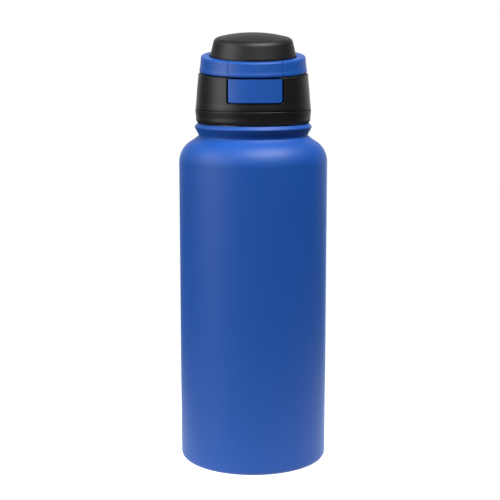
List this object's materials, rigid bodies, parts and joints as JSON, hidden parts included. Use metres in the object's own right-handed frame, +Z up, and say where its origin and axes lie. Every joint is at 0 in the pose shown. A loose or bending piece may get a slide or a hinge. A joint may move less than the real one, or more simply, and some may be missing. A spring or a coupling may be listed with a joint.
{
  "type": "insulated water bottle",
  "caption": "Wide-mouth insulated bottle with a screw lid, a push button in front, a hinged spout cover and a fold-back carrying loop.",
  "frame": {"origin": "centre of the circle the foot stands on", "axes": "+Z up along the bottle's axis; the button faces -Y and the hinges are at +Y"},
  "size_m": [0.093, 0.093, 0.2711],
  "materials": {
    "paint": "satin powder coat",
    "steel": "satin",
    "solder": "gloss",
    "blue_plastic": "satin",
    "black_plastic": "satin",
    "grey_plastic": "satin",
    "silicone": "matt"
  },
  "bodies": {
    "bottle": {"outer_shell": "paint", "inner_liner": "steel", "base_cup": "steel", "seal_bead": "solder", "base_disc": "steel", "getter_cup": "steel"},
    "seal": {"mouth_seal": "silicone"},
    "lid": {"threaded_base": "black_plastic", "lid_housing": "black_plastic", "spout": "grey_plastic", "spout_seal": "silicone", "stem_wiper": "silicone", "cover_pin": "steel", "loop_pin_left": "steel", "loop_pin_right": "steel", "valve_spring": "steel", "button_spring_left": "steel", "button_spring_right": "steel"},
    "button": {"button": "blue_plastic", "cam_fork": "grey_plastic"},
    "valve": {"valve_arm": "grey_plastic", "valve_plug": "silicone", "vent_plug": "silicone", "crossbar": "steel"},
    "cover": {"spout_cover": "black_plastic", "cover_seal": "silicone"},
    "loop": {"carry_loop": "blue_plastic", "loop_front_insert": "blue_plastic"}
  },
  "joints": [
    {"name": "lid_lift", "type": "slide", "parent": "bottle", "child": "seal", "axis": [0, 0, 1], "range_m": [0, 0.0054]},
    {"name": "lid_turn", "type": "hinge", "parent": "seal", "child": "lid", "pos_m": [0, 0, 0.22], "axis": [0, 0, 1], "range_deg": [0, 480]},
    {"name": "button_press", "type": "slide", "parent": "lid", "child": "button", "axis": [0, 1, 0], "range_m": [0, 0.004], "stiffness_N_per_m": 1500, "springref_m": -0.002, "deforming": ["button_spring_left", "button_spring_right"]},
    {"name": "valve_open", "type": "slide", "parent": "lid", "child": "valve", "axis": [0, 0, -1], "range_m": [0, 0.004], "stiffness_N_per_m": 500, "springref_m": -0.002, "deforming": ["valve_spring"]},
    {"name": "cover_flip", "type": "hinge", "parent": "lid", "child": "cover", "pos_m": [0, 0.0282, 0.2575], "axis": [-1, 0, 0], "range_deg": [0, 130]},
    {"name": "loop_lift", "type": "hinge", "parent": "lid", "child": "loop", "pos_m": [0, 0.0282, 0.2523], "axis": [-1, 0, 0], "range_deg": [0, 95]}
  ],
  "couplings": [
    {"joint": "lid_lift", "follows": "lid_turn", "m_per_rad": 0.00063662},
    {"joint": "valve_open", "follows": "button_press", "ratio": 1}
  ]
}
